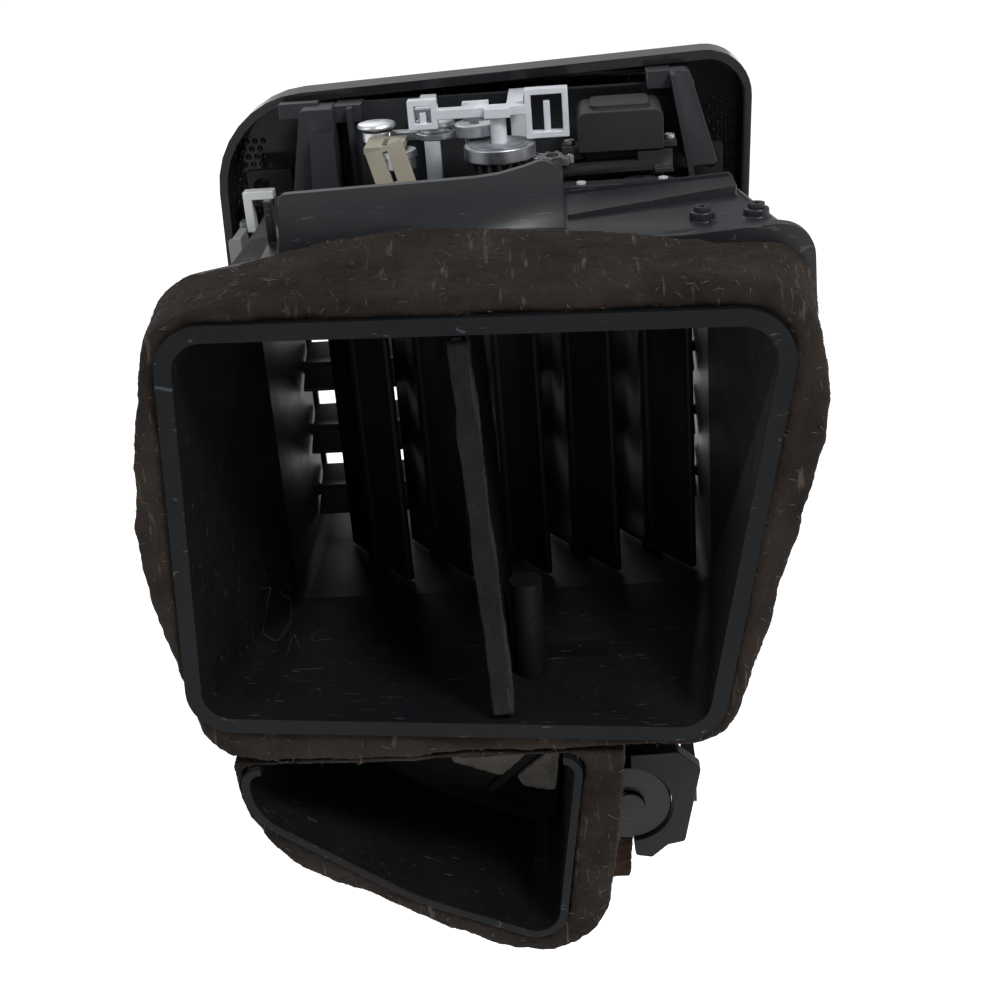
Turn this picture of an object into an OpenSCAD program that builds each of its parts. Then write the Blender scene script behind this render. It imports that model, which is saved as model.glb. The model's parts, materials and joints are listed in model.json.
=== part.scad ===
// Dashboard air outlet with motor-driven vanes: bezel, vane box, flared rear duct and a small lower duct.
// The origin is the middle of the vane box in the plane of the bezel's rear rim.
// -Y is the face seen by the driver, +Y is the duct side, +Z is up.

/* [Bezel] */
// Width of the front bezel
bezel_w = 143; // [142:0.5:146]
// Height of the bezel's top edge at its -X corner
bezel_top = 80.6; // [80:0.2:83]
// How far the top edge falls towards its +X corner
bezel_fall = 5.5; // [3:0.5:6]
// How far the bezel's bottom corners sit towards +X of its top corners
bezel_lean = 5; // [4:0.2:5.4]
// Depth of the bezel's bottom edge below the centre line
bezel_drop = 68; // [67:0.5:72]
// Depth from the bezel's face to its rear rim
bezel_depth = 14; // [13.6:0.2:18]
// Thickness of the bezel's skin
bezel_wall = 2.4; // [2:0.1:2.6]

/* [Vane box] */
// Inner width of the vane box
channel_w = 110; // [109:0.5:111]
// Inner height of the vane box
channel_h = 97; // [96.5:0.5:98]
// Wall thickness of the mouldings
wall = 2.2; // [1.8:0.1:2.4]
// Front end of the vane box
box_front = -9; // [-9.5:0.1:-8]
// Rear end of the vane box
box_rear = 47; // [46.5:0.1:48]
// Distance between the dash screws along X
screw_span_x = 119; // [118:0.5:119]
// Distance between the dash screws along Z
screw_span_z = 104; // [103:0.5:104]
// Radius of the dash screw holes
screw_hole_r = 2.2; // [2:0.1:2.5]

/* [Vertical vanes] */
// Distance of the vane axes behind the bezel's rim
vane_pivot_y = 26; // [25.5:0.1:26.5]
// Angle of the vanes as stored, front edges towards +X
vane_turn = 36; // [24:1:37]
// Length of a vane in front of its axis
vane_front = 14; // [13:0.5:14]
// Length of a vane behind its axis
vane_rear = 18; // [16:0.5:18.5]
// Thickness of a vane
vane_t = 2; // [1.6:0.1:2.2]
// Radius of the low cranks that tie the vanes together
low_crank_r = 9; // [8:0.5:9]
// Radius of the high cranks driven by the motor
high_crank_r = 11; // [10.5:0.1:11.5]

/* [Horizontal fins] */
// Number of horizontal fins
fin_count = 5; // [5:1:5]
// Distance between fins
fin_pitch = 19; // [18.5:0.1:19.2]
// Place of the fin axes along Y
fin_pivot_y = -1; // [-1.2:0.1:-0.8]
// Chord of a fin
fin_chord = 18; // [17:0.5:18]
// Tilt of the fins as stored, front edges up
fin_tilt = 28; // [10:1:29]
// Radius of the fin cranks
fin_crank_r = 9; // [8.5:0.1:9.2]

/* [Drive train] */
// Module of the gear teeth
gear_module = 0.8; // [0.8:0.01:0.8]
// Teeth on the drive wheel
wheel_teeth = 20; // [20:1:20]
// Teeth on the motor pinion
pinion_teeth = 12; // [12:1:12]
// Place of the drive wheel's axis along X
wheel_x = -6.2; // [-6.4:0.1:-6]
// Travel of the thumb slider for one radian of vane turn
slider_per_radian = 11.5; // [11.5:0.1:11.5]

/* [Ducts] */
// Plane of both duct mouths
mouth_y = 106; // [105:0.5:108]
// Width of the flat lip round the main mouth
lip_w = 3.8; // [3:0.1:4]
// Front face of the flange that the main gasket seats on
flange_front = 74; // [73.5:0.1:74.5]
// Wall thickness of the lower duct
low_wall = 2; // [1.8:0.1:2]
// Lean of the centre partition from vertical
partition_lean = 2.2; // [0:0.1:2.5]

/* [Lower flap] */
// Place of the flap's axis along Y
flap_y = 62; // [61:0.5:63]
// Height of the flap's axis
flap_z = -72; // [-72.5:0.1:-71.5]

/* [Hidden] */
$fn = 48;

// Clearances: seat between fixed mouldings, run between a shaft and its bore
seat = 0.1;
run = 0.05;
eps = 0.01;

half_w = channel_w / 2;
half_h = channel_h / 2;
out_x = half_w + wall;
out_z = half_h + wall;
vane_places = [-40.5, -20.5, -2, 18.5, 35.5];
vane_count = len(vane_places);

// Vane hardware, from the box top upwards
vane_pin_r = 2;
crank_pin_r = 1.2;
crank_z = out_z + 0.6;
crank_t = 2;
hub_h = 3;
hub_r = 4.2;
link_z = crank_z + crank_t + 0.4;
link_t = 2;
base_z = link_z + link_t + 1;
base_t = 2.2;
wheel_z = base_z + base_t + 0.7;
wheel_t = 4;
tooth_t = 1.8;
arm_z = wheel_z + wheel_t;
arm_t = 1.7;
bar_z = arm_z + arm_t + 0.6;
bar_t = 3;
bridge_z = bar_z + bar_t + 3;
bridge_y = 23.3;
bridge_t = 3.2;
motor_x = [-46.6, -25.5];
motor_low = 61.6;
motor_top = 71.4;
ear_t = 1.4;
motor_screw_x = [-23.4, -48.1];
motor_screw_y = 22;
wheel_r = gear_module * wheel_teeth / 2;
drum_r = wheel_r + 0.9;
pinion_r = gear_module * pinion_teeth / 2;
pinion_x = wheel_x - wheel_r - pinion_r;
high_pin = high_crank_r * [sin(vane_turn), -cos(vane_turn)];
low_pin = low_crank_r * [-sin(vane_turn), cos(vane_turn)];

// Fin hardware, outwards from the box's +X wall
fin_pin_r = 1.5;
strip_t = 2.6;
strip_x = out_x + 0.2;
fin_arm_x = strip_x + strip_t + 0.4;
fin_arm_t = 2;
fin_link_x = fin_arm_x + fin_arm_t + 0.4;
fin_link_t = 2.2;
fin_pin_at = [fin_pivot_y + fin_crank_r * cos(fin_tilt), -fin_crank_r * sin(fin_tilt)];
slider_x = slider_per_radian * vane_turn * PI / 180;

// Outlines in X and Z, each corner as [x, z, radius]
bezel_outline = [
    [bezel_w / 2 - 1, bezel_top - bezel_fall, 26], [-bezel_w / 2, bezel_top, 12],
    [-bezel_w / 2 + bezel_lean, -bezel_drop, 14], [bezel_w / 2 - 1 + bezel_lean, -bezel_drop, 14]
];
box_outline = [
    [half_w, half_h, 3], [-half_w, half_h, 3], [-half_w, -half_h, 3], [half_w, -half_h, 3]
];
mouth_outline = [[61.6, 44.9, 7], [-66.4, 41.7, 8], [-48.7, -55.2, 7], [68.3, -47.2, 7]];
flange_outline = [
    [69, 49.6, 10], [77, 0, 30], [70, -58.6, 10], [-55, -58.6, 10], [-78, 8, 30], [-76.2, 55.6, 8],
    [-46, 53.6, 30], [14, 58.4, 90]
];
shroud_front = [[62, 53.2, 6], [-63.5, 55, 3], [-62, -53.2, 6], [62, -53.2, 6]];
shroud_rear = [[64.5, 51.4, 12], [-75.5, 54.6, 8], [-60, -58.6, 10], [68, -58.6, 10]];
foam_front = [
    [69.5, 50.6, 12], [79, 2, 90], [70, -61.2, 12], [-54, -61.2, 12], [-77.6, 14, 70], [-75.5, 50.6, 12],
    [14, 60.4, 110]
];
foam_rear = [
    [67, 51.5, 14], [78.5, 0, 90], [69, -61.2, 12], [-54, -61.2, 12], [-77.2, 18, 70], [-72, 50, 13]
];
low_outline = [[60.3, -64, 3], [59.8, -75.4, 14], [22.5, -101.6, 60], [-10.7, -115.9, 6], [-17.9, -64, 3]];
low_foam_outline = [[64.5, -60, 2], [63.5, -85, 34], [14, -113.4, 60], [-21.8, -129.5, 18], [-30.2, -60, 2]];
low_front = [[40, -54, 2], [40, -63.2, 2], [-13, -63.2, 2], [-13, -54, 2]];
guard_outline = [[41, 67.2, 2], [-8, 68.4, 40], [-21.6, 72.4, 4], [-22, 52, 1], [42.6, 52, 1]];

shroud_y = 38.4;
shroud_rear_y = flange_front;
flange_t = 3;
foam_y = flange_front + flange_t + seat;
foam_end = mouth_y - 1.2;
low_foam_y = mouth_y - 18;
low_top_end = mouth_y - 20;
screw_places = [-52.5, -64.5];
screw_boss_y = 67.5;
screw_boss_z = 56.4;
low_neck_end = 2.4;
low_taper_y = 52;
guard_y = 71.2;

// --- helpers -------------------------------------------------------------

function flat(c) = [c[0], c[1]];
function unit(v) = v / norm(v);
function before(c, i) = unit(flat(c[(i + len(c) - 1) % len(c)]) - flat(c[i]));
function after(c, i) = unit(flat(c[(i + 1) % len(c)]) - flat(c[i]));
function half_angle(c, i) = acos(before(c, i) * after(c, i)) / 2;
function bisector(c, i) = unit(before(c, i) + after(c, i));

// Corner points of an outline moved outwards by t
function grown(c, t) = [
    for (i = [0 : len(c) - 1])
        let (p = flat(c[i]) - bisector(c, i) * t / sin(half_angle(c, i)))
        [p[0], p[1], c[i][2] + t]
];

// Polygon points of an outline, each corner as an arc
function rounded(c) = [
    for (i = [0 : len(c) - 1])
        let (
            h = half_angle(c, i),
            r = c[i][2],
            middle = flat(c[i]) + bisector(c, i) * r / sin(h),
            from = unit(flat(c[i]) + before(c, i) * r / tan(h) - middle),
            to = unit(flat(c[i]) + after(c, i) * r / tan(h) - middle),
            sweep = 180 - 2 * h,
            steps = max(2, ceil(sweep / 11))
        )
        for (k = [0 : steps])
            middle + r * (from * sin(sweep * (1 - k / steps)) + to * sin(sweep * k / steps)) / sin(sweep)
];

// An outline in X and Z made into a slab from y0 to y1
module slab_y(c, y0, y1) {
    translate([0, y1, 0]) rotate([90, 0, 0]) linear_extrude(y1 - y0) polygon(rounded(c));
}

// An outline in Y and Z made into a slab from x0 to x1
module slab_x(c, x0, x1) {
    translate([x0, 0, 0]) rotate([90, 0, 90]) linear_extrude(x1 - x0) polygon(rounded(c));
}

// An outline in X and Y made into a slab from z0 to z1
module slab_z(c, z0, z1) {
    translate([0, 0, z0]) linear_extrude(z1 - z0) polygon(rounded(c));
}

// A blend from one outline at y0 to another at y1
module loft_y(c0, y0, c1, y1) {
    hull() {
        slab_y(c0, y0, y0 + eps);
        slab_y(c1, y1 - eps, y1);
    }
}

// A box from its lowest to its highest corner
module block(low, high) {
    translate(low) cube(high - low);
}

// A round bar along Z, X or Y from a to b
module rod_z(r, a, b) {
    translate([0, 0, a]) cylinder(r = r, h = b - a);
}
module rod_x(r, a, b) {
    translate([a, 0, 0]) rotate([0, 90, 0]) cylinder(r = r, h = b - a);
}
module rod_y(r, a, b) {
    translate([0, a, 0]) rotate([-90, 0, 0]) cylinder(r = r, h = b - a);
}

// A flat arm with round ends in the XY plane, from p to q
module arm_xy(p, q, r_p, r_q, z0, z1) {
    run_length = norm(q - p);
    turn = atan2(q[1] - p[1], q[0] - p[0]);
    lean = asin((r_p - r_q) / run_length);
    tangent = [sin(lean), cos(lean)];
    translate([p[0], p[1], z0]) rotate([0, 0, turn]) {
        cylinder(r = r_p, h = z1 - z0);
        translate([run_length, 0, 0]) cylinder(r = r_q, h = z1 - z0);
        linear_extrude(z1 - z0) polygon([
            r_p * tangent, [run_length, 0] + r_q * tangent,
            [run_length + r_q * tangent[0], -r_q * tangent[1]], [r_p * tangent[0], -r_p * tangent[1]]
        ]);
    }
}

// --- places of the moving parts --------------------------------------------

function vane_x(i) = vane_places[i - 1];
function fin_z(k) = (k - (fin_count + 1) / 2) * fin_pitch;

module at_vane(i) {
    translate([vane_x(i), vane_pivot_y, 0]) rotate([0, 0, vane_turn]) children();
}
module at_wheel() {
    translate([wheel_x, vane_pivot_y, 0]) rotate([0, 0, vane_turn]) children();
}
module at_fin(k) {
    translate([0, fin_pivot_y, fin_z(k)]) rotate([-fin_tilt, 0, 0]) children();
}
module at_flap() {
    translate([0, flap_y, flap_z]) children();
}

// --- fixed mouldings ---------------------------------------------------------

outlet_outline = [[54, 47.6, 6], [-54, 47.6, 6], [-54, -47.6, 6], [54, -47.6, 6]];

module bezel() {
    face = -bezel_depth;
    pocket = face + bezel_wall;
    ledge_z = bezel_top - 6.2;
    color("#101114") {
        difference() {
            union() {
                slab_y(bezel_outline, face + 3, 0);
                loft_y(grown(bezel_outline, -2.6), face, bezel_outline, face + 3 + eps);
            }
            slab_y(grown(bezel_outline, -bezel_wall), pocket, 1);
            slab_y(outlet_outline, face - 1, 0);
            slab_y(grown(low_front, -0.6), face - 1, 0);
        }
        // stiffening ribs behind the face, above the outlet
        for (x = [-40 : 16 : 24])
            block([x, pocket - eps, half_h + wall + 2], [x + 1.6, pocket + 4, ledge_z]);
        block([-46, pocket - eps, ledge_z], [34, -3, ledge_z + 1.6]);
    }
}

module vane_box() {
    ear_low = [half_w - 4, -3, out_z - 4];
    ear_high = [screw_span_x / 2 + 3.8, 0, screw_span_z / 2 + 4.4];
    color("#1b1c1f") difference() {
        union() {
            slab_y(grown(box_outline, wall), box_front, box_rear);
            for (sx = [0, 1], sz = [0, 1])
                mirror([sx, 0, 0]) mirror([0, 0, sz]) block(ear_low, ear_high);
        }
        slab_y(box_outline, box_front - 1, box_rear + 1);
        for (i = [1 : vane_count])
            translate([vane_x(i), vane_pivot_y, 0]) rod_z(vane_pin_r + run, -out_z - 1, out_z + 1);
        for (k = [1 : fin_count])
            translate([0, fin_pivot_y, fin_z(k)]) rod_x(fin_pin_r + 0.4, -out_x - 1, out_x + 1);
        for (sx = [-1, 1], sz = [-1, 1])
            translate([sx * screw_span_x / 2, 0, sz * screw_span_z / 2]) rod_y(screw_hole_r, -4, 1);
    }
}

// Upright wall in front of the drive train, with the two tapered posts and a rib
module mechanism_frame() {
    floor_z = out_z + seat;
    color("#222428") {
        block([-56, 0.6, floor_z], [42, 2.6, 73.2]);
        // left post, stepped
        slab_y([[45, 73.6, 1], [36.4, 73.6, 1], [36.4, floor_z, 0.3], [49.4, floor_z, 0.3]], 2.5, 12);
        slab_y([[42.4, 68, 0.6], [36.4, 68, 0.6], [36.4, floor_z, 0.3], [43.6, floor_z, 0.3]], 11.9, 16);
        // thin rib beside it
        block([31.6, 2.5, floor_z], [33.2, 11.4, 73.4]);
        // tabs that reach up to the bezel
        block([29.6, 0.6, 69.4], [36.5, 9, 73.6]);
        block([41, 2.4, 70.4], [51.5, 6, 74.4]);
        // right post, leaning out towards its foot
        slab_y([[-49.2, 77, 0.8], [-54.4, 77, 1.6], [-61.4, floor_z + 2, 1], [-53.6, floor_z + 2, 1]], 2.5, 9);
        slab_y([[-49.2, 77, 0.4], [-50.6, 77, 0.4], [-55, floor_z, 0.4], [-53.6, floor_z, 0.4]], 8.9, 15);
        block([-49.6, 0.6, 72.6], [-43.5, 8.6, 77]);
    }
}

// Outside of the flared duct, with a gap of extra around it
module duct_outside(extra) {
    loft_y(grown(box_outline, wall + extra), box_rear + seat, grown(mouth_outline, wall + extra), mouth_y - 1);
}

module duct_shroud() {
    color("#1f2124") difference() {
        union() {
            difference() {
                loft_y(shroud_front, shroud_y, shroud_rear, flange_front + eps);
                loft_y(grown(shroud_front, -wall), shroud_y - 1, grown(shroud_rear, -wall), flange_front + 1);
                // open corner beside the fin linkage
                block([47.6, shroud_y - 1, 18], [80, flange_front + 1, 70]);
            }
            difference() {
                slab_y(flange_outline, flange_front, flange_front + flange_t);
                duct_outside(seat);
            }
            // raised step that the drive train's cover would seat on, with a rib along its front
            translate([-22.5, shroud_y, 52.4]) rotate([0, 3.1, 0]) {
                linear_extrude(2.6) polygon([[0, 0.3], [0, 21.2], [-39.6, 11.6], [-39.6, 0.3]]);
                translate([-39, 0.6, 2]) cube([38.6, 1.2, 1.3]);
            }
            // upright guard behind the drive train, with a return at each end and a post beside it
            slab_y(guard_outline, guard_y, flange_front + eps);
            for (end = [[-21.9, 71.2], [40.2, 66.4]])
                slab_x([[63, 52.6, 0.4], [63, end[1] - 4, 3], [guard_y + 0.1, end[1], 0.4],
                    [guard_y + 0.1, 52.6, 0.4]], end[0], end[0] + wall);
            block([45.6, 57, 51.4], [47.4, 60, 62.5]);
            // bosses for the two small screws
            for (x = screw_places)
                translate([x, screw_boss_y, 0]) rod_z(2.9, 53.4, screw_boss_z);
        }
        for (x = screw_places)
            translate([x, screw_boss_y, 0]) rod_z(1.3, 48, screw_boss_z + 1);
    }
}

module rear_duct() {
    boss_at = [-7.9, 82, 0];
    color("#1a1b1e") {
        difference() {
            union() {
                duct_outside(0);
                slab_y(grown(mouth_outline, lip_w), mouth_y - 3, mouth_y);
            }
            loft_y(box_outline, box_rear - 0.6, mouth_outline, mouth_y - 2);
            slab_y(mouth_outline, mouth_y - 2 - eps, mouth_y + 1);
        }
        // screw boss beside the partition, and a low rib on the floor
        translate(boss_at) rod_z(4, -52.3, -27);
        block([-27, 75.2, -52.3], [-11.6, 77.1, -47.4]);
    }
}

module centre_partition() {
    color("#26282b") rotate([0, partition_lean, 0]) difference() {
        slab_x([[49.5, 47.4, 2], [103.6, 42.4, 0.5], [103.6, -51.3, 0.5], [49.5, -48.3, 2]], -1.1, 1.1);
        // relief in the edge for the screw boss
        translate([-7.9, 82, 0]) rod_z(4 + seat * 8, -60, -20);
    }
}

module partition_edge_strip() {
    color("#3b3c3c") rotate([0, partition_lean, 0]) difference() {
        slab_x([[97.5, 42.1, 1], [105.4, 41.6, 2.4], [105.4, -51.1, 2.4], [97.5, -50.8, 1]], -2.4, 2.4);
        block([-1.1 - seat, 96, -60], [1.1 + seat, 103.6 + seat, 60]);
    }
}

module lower_duct() {
    color("#1c1d20") difference() {
        union() {
            slab_y(grown(low_outline, low_wall), low_taper_y, mouth_y);
            slab_y(grown(low_front, low_wall), -bezel_depth + bezel_wall + 0.4, low_neck_end + eps);
            loft_y(grown(low_front, low_wall), low_neck_end, grown(low_outline, low_wall), low_taper_y + eps);
        }
        slab_y(low_outline, low_taper_y - eps, mouth_y + 1);
        slab_y(low_front, -bezel_depth, low_neck_end + eps);
        loft_y(low_front, low_neck_end, low_outline, low_taper_y + eps);
        // the last stretch of the top wall is left to the main gasket
        block([-15, low_top_end, -68], [57, mouth_y + 1, -58]);
        at_flap() rod_x(vane_pin_r + run, -30, 70);
    }
}

module main_foam_gasket() {
    color("#352c27") difference() {
        loft_y(foam_front, foam_y, foam_rear, foam_end);
        duct_outside(seat);
        slab_y(grown(mouth_outline, lip_w + seat), mouth_y - 3 - seat, mouth_y + 1);
    }
}

module lower_foam_gasket() {
    color("#352c27") difference() {
        slab_y(low_foam_outline, low_foam_y, foam_end);
        slab_y(grown(low_outline, low_wall + seat), low_foam_y - 1, mouth_y);
        block([-60, low_foam_y - 1, -61.5], [90, mouth_y, -40]);
    }
}

// Pan-head screw standing on z = 0 with its head upwards
module screw(head_r, head_h, shank_r, shank) {
    difference() {
        union() {
            rod_z(head_r, 0, head_h);
            rod_z(shank_r, -shank, eps);
        }
        for (a = [0, 90])
            rotate([0, 0, a]) block([-head_r * 0.6, -0.35, head_h / 2], [head_r * 0.6, 0.35, head_h + 1]);
    }
}

// Small screws through the shroud's top
module box_screws() {
    color("#3a3b3e") for (x = screw_places)
        translate([x, screw_boss_y, screw_boss_z + eps]) screw(1.9, 1, 1.2, 3.2);
}

module fin_bearing(side) {
    color("#2b2c2f") mirror([side < 0 ? 1 : 0, 0, 0]) difference() {
        slab_x([[-8, -45, 2], [5.4, -45, 2], [5.4, 45, 2], [-8, 45, 2]], strip_x, strip_x + strip_t);
        for (k = [1 : fin_count])
            translate([0, fin_pivot_y, fin_z(k)]) rod_x(fin_pin_r + run, out_x, out_x + 6);
    }
}
module fin_bearing_left() { fin_bearing(-1); }
module fin_bearing_right() { fin_bearing(1); }

// --- drive train ----------------------------------------------------------

// Window frame standing in the XZ plane
module clip_tower(x0, x1, z0, z1) {
    rim = 1.5;
    difference() {
        block([x0, bridge_y, z0], [x1, bridge_y + bridge_t, z1]);
        block([x0 + rim, bridge_y - 1, z0 + rim], [x1 - rim, bridge_y + bridge_t + 1, z1 - rim]);
    }
    block([(x0 + x1) / 2 - 0.8, bridge_y + 0.6, z0 + rim - eps], [(x0 + x1) / 2 + 0.8, bridge_y + 2.4, z1 - 3.2]);
}

module gear_bridge() {
    color("#b9bcc0") {
        block([-13.2, bridge_y, bridge_z], [9, bridge_y + bridge_t, bridge_z + 2.4]);
        block([-4, bridge_y - 2.6, bridge_z - 1.4], [2.6, bridge_y + 0.1, bridge_z + 3.2]);
        clip_tower(8.6, 15.8, bridge_z - 2.2, bridge_z + 5);
        clip_tower(-23.6, -13, bar_z, bridge_z + 6);
        for (x = [-12.4, 10.4])
            block([x, 3, bridge_z], [x + 4, bridge_y + 0.1, bridge_z + 2.2]);
        for (x = [-12.4, 10.4])
            block([x, 3, out_z + seat], [x + 4, 5.4, bridge_z + eps]);
        // axle of the drive wheel, with a collar under the wheel
        block([wheel_x - 3.2, bridge_y + bridge_t - 0.1, bridge_z], [wheel_x + 3.2, vane_pivot_y + 3.2, bridge_z + 2.4]);
        translate([wheel_x, vane_pivot_y, 0]) rod_z(2, wheel_z - 1, bridge_z + eps);
        translate([wheel_x, vane_pivot_y, 0]) rod_z(3.4, wheel_z - 1.3, wheel_z - 0.5);
    }
}

module vane_motor() {
    base_top = base_z + base_t;
    color("#2a2b2e") {
        slab_z([[motor_x[0], 9, 2], [-12.6, 13, 3], [-12.6, 30, 3], [motor_x[0], 27, 2]], base_z, base_top);
        // body on a recessed foot, with a lid
        block([motor_x[0] + 3, 10.5, base_top - eps], [motor_x[1] - 1.5, 22, motor_low + eps]);
        slab_y([[motor_x[1], motor_low, 0.8], [motor_x[1], motor_top, 2.4], [motor_x[0], motor_top, 2],
            [motor_x[0], motor_low, 0.8]], 9, 27);
        slab_z([[-43.5, 11, 2], [-29, 11, 2], [-29, 24, 2], [-43.5, 24, 2]], motor_top - 0.1, motor_top + 1);
        // an ear at each side for its screws
        difference() {
            for (ear = [[motor_x[1] - 0.3, -21.4], [-49.8, motor_x[0] + 0.3]])
                slab_z([[ear[0], 18.6, 0.4], [ear[1], 18.6, 0.4], [ear[1], 25.4, 0.4], [ear[0], 25.4, 0.4]],
                    motor_low + 0.1, motor_low + ear_t);
            for (x = motor_screw_x)
                translate([x, motor_screw_y, 0]) rod_z(1.1, motor_low - 1, motor_low + 3);
        }
        // stepped bracket under the outer corner
        block([-48.6, 20.4, 56.2], [-40, 26.6, motor_low - 0.4]);
        block([-48.6, 26.5, 56.2], [-44, 29.4, 57.4]);
        translate([pinion_x, vane_pivot_y, 0]) rod_z(1.5, base_z + eps, wheel_z + tooth_t + 0.4);
        // legs down to the box
        block([-46.6, 9.6, out_z + seat], [-43, 18, base_z + eps]);
        block([-16.4, 13.6, out_z + seat], [-13, 17, base_z + eps]);
    }
}

// Socket on the motor's front side, open at its top
module motor_connector() {
    color("#18191b") difference() {
        block([-42, 3.2, 61.6], [-33, 9 - seat, 68.6]);
        block([-40.9, 4.1, 64], [-34.1, 8, 69]);
    }
    color("#b79a5a") for (x = [-39.8 : 2.3 : -35])
        block([x - 0.3, 5.7, 63.9], [x + 0.3, 6.3, 67.4]);
}

module motor_screws() {
    color("#a7a9ac") for (x = motor_screw_x)
        translate([x, motor_screw_y, motor_low + ear_t + eps]) screw(1.35, 1.1, 0.9, 1.2);
}

// Involute flank point at radius r: angle from the tooth's middle line
function flank(r, base, pitch, tooth_half, pressure) =
    let (
        a = acos(min(1, base / max(r, base))),
        inv = tan(a) - a * PI / 180,
        inv_pitch = tan(pressure) - pressure * PI / 180
    )
    tooth_half + (inv_pitch - inv) * 180 / PI;

// Spur gear outline with its first tooth on the +X axis
module gear(teeth, play) {
    pressure = 25;
    pitch = gear_module * teeth / 2;
    base = pitch * cos(pressure);
    tip = pitch + 0.95 * gear_module;
    root = pitch - 1.2 * gear_module;
    tooth_half = 90 / teeth - play / pitch * 90 / PI;
    radii = [root, max(root, base), pitch - gear_module / 2, pitch, pitch + gear_module / 2, tip];
    half = [for (r = radii) [r, flank(r, base, pitch, tooth_half, pressure)]];
    polygon([
        for (k = [0 : teeth - 1])
            for (s = [-1, 1], j = [0 : len(half) - 1])
                let (
                    h = s < 0 ? half[j] : half[len(half) - 1 - j],
                    a = k * 360 / teeth + s * h[1]
                )
                h[0] * [cos(a), sin(a)]
    ]);
}

module drive_wheel() {
    color("#2e2f33") difference() {
        translate([wheel_x, vane_pivot_y, wheel_z]) rotate([0, 0, 180])
            linear_extrude(tooth_t + 0.3 - seat) gear(wheel_teeth, 0.12);
        at_wheel() rod_z(2 + run, base_z, arm_z);
    }
}

// Smooth disc over the teeth, with the crank arm and its pin
module wheel_disc() {
    color("#36373b") difference() {
        union() {
            at_wheel() rod_z(drum_r, wheel_z + tooth_t + 0.3, arm_z + arm_t);
            at_wheel() rod_z(drum_r - 1.4, arm_z + arm_t - eps, arm_z + arm_t + 0.2);
            at_wheel() arm_xy([0, 0], [0, -high_crank_r], 5, 2.6, arm_z - eps, arm_z + arm_t);
        }
        at_wheel() rod_z(2 + run, base_z, arm_z + arm_t + 2);
    }
    color("#c8cacd") at_wheel() translate([0, -high_crank_r, 0]) rod_z(crank_pin_r, arm_z + arm_t - eps, bar_z + bar_t + 1);
}

module motor_pinion() {
    color("#d6d2c4") translate([pinion_x, vane_pivot_y, wheel_z]) difference() {
        rotate([0, 0, 180 / pinion_teeth]) linear_extrude(tooth_t) gear(pinion_teeth, 0.12);
        rod_z(1.5 + run, -1, tooth_t + 1);
    }
}

// Vertical vane with its shaft; the shaft's upper end carries the cranks
module vane(i) {
    shaft_top = i == 4 ? arm_z - 0.05 : crank_z + hub_h;
    edge = vane_t / 2 - 0.15;
    color("#17181a") at_vane(i) {
        slab_z([[-vane_t / 2, vane_rear, edge], [vane_t / 2, vane_rear, edge],
            [vane_t / 2, -vane_front, edge], [-vane_t / 2, -vane_front, edge]], -half_h + 1, half_h - 1);
        rod_z(vane_pin_r, -out_z - 0.4, shaft_top);
        rod_z(vane_pin_r + 0.9, -half_h + 0.4, -half_h + 3);
        rod_z(vane_pin_r + 0.9, half_h - 3, half_h - 0.4);
    }
}
module vane_1() { vane(1); }
module vane_2() { vane(2); }
module vane_3() { vane(3); }
module vane_4() { vane(4); }
module vane_5() { vane(5); }

module vane_crank(i) {
    color("#d8d9d6") at_vane(i) {
        difference() {
            union() {
                rod_z(hub_r, crank_z, crank_z + hub_h);
                arm_xy([0, 0], [0, low_crank_r], 3.4, 2.2, crank_z, crank_z + crank_t);
            }
            rod_z(vane_pin_r + 0.02, crank_z - 1, crank_z + hub_h + 1);
        }
        translate([0, low_crank_r, 0]) rod_z(crank_pin_r, crank_z + crank_t - eps, link_z + link_t + 0.5);
    }
}
module vane_crank_1() { vane_crank(1); }
module vane_crank_2() { vane_crank(2); }
module vane_crank_3() { vane_crank(3); }
module vane_crank_4() { vane_crank(4); }
module vane_crank_5() { vane_crank(5); }

// Bar that ties all the low cranks together
module vane_link() {
    pins_y = vane_pivot_y + low_pin[1];
    first = vane_x(1) + low_pin[0];
    last = vane_x(vane_count) + low_pin[0];
    color("#303236") difference() {
        union() {
            arm_xy([first, pins_y], [last, pins_y], 2.5, 2.5, link_z, link_z + link_t);
            for (i = [1 : vane_count])
                translate([vane_x(i) + low_pin[0], pins_y, 0]) rod_z(2.9, link_z, link_z + link_t);
        }
        for (i = [1 : vane_count])
            translate([vane_x(i) + low_pin[0], pins_y, 0]) rod_z(crank_pin_r + run, link_z - 1, link_z + 5);
    }
}

// High crank on the fourth vane's shaft
module upper_crank() {
    color("#303236") at_vane(4) {
        difference() {
            union() {
                arm_xy([0, 0], [0, -high_crank_r], 4, 2.6, arm_z, arm_z + arm_t);
                rod_z(3.6, arm_z - 3, arm_z + eps);
            }
            rod_z(vane_pin_r + 0.02, arm_z - 4, arm_z);
        }
        translate([0, -high_crank_r, 0]) rod_z(crank_pin_r, arm_z + arm_t - eps, bar_z + bar_t + 0.2);
    }
}

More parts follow.
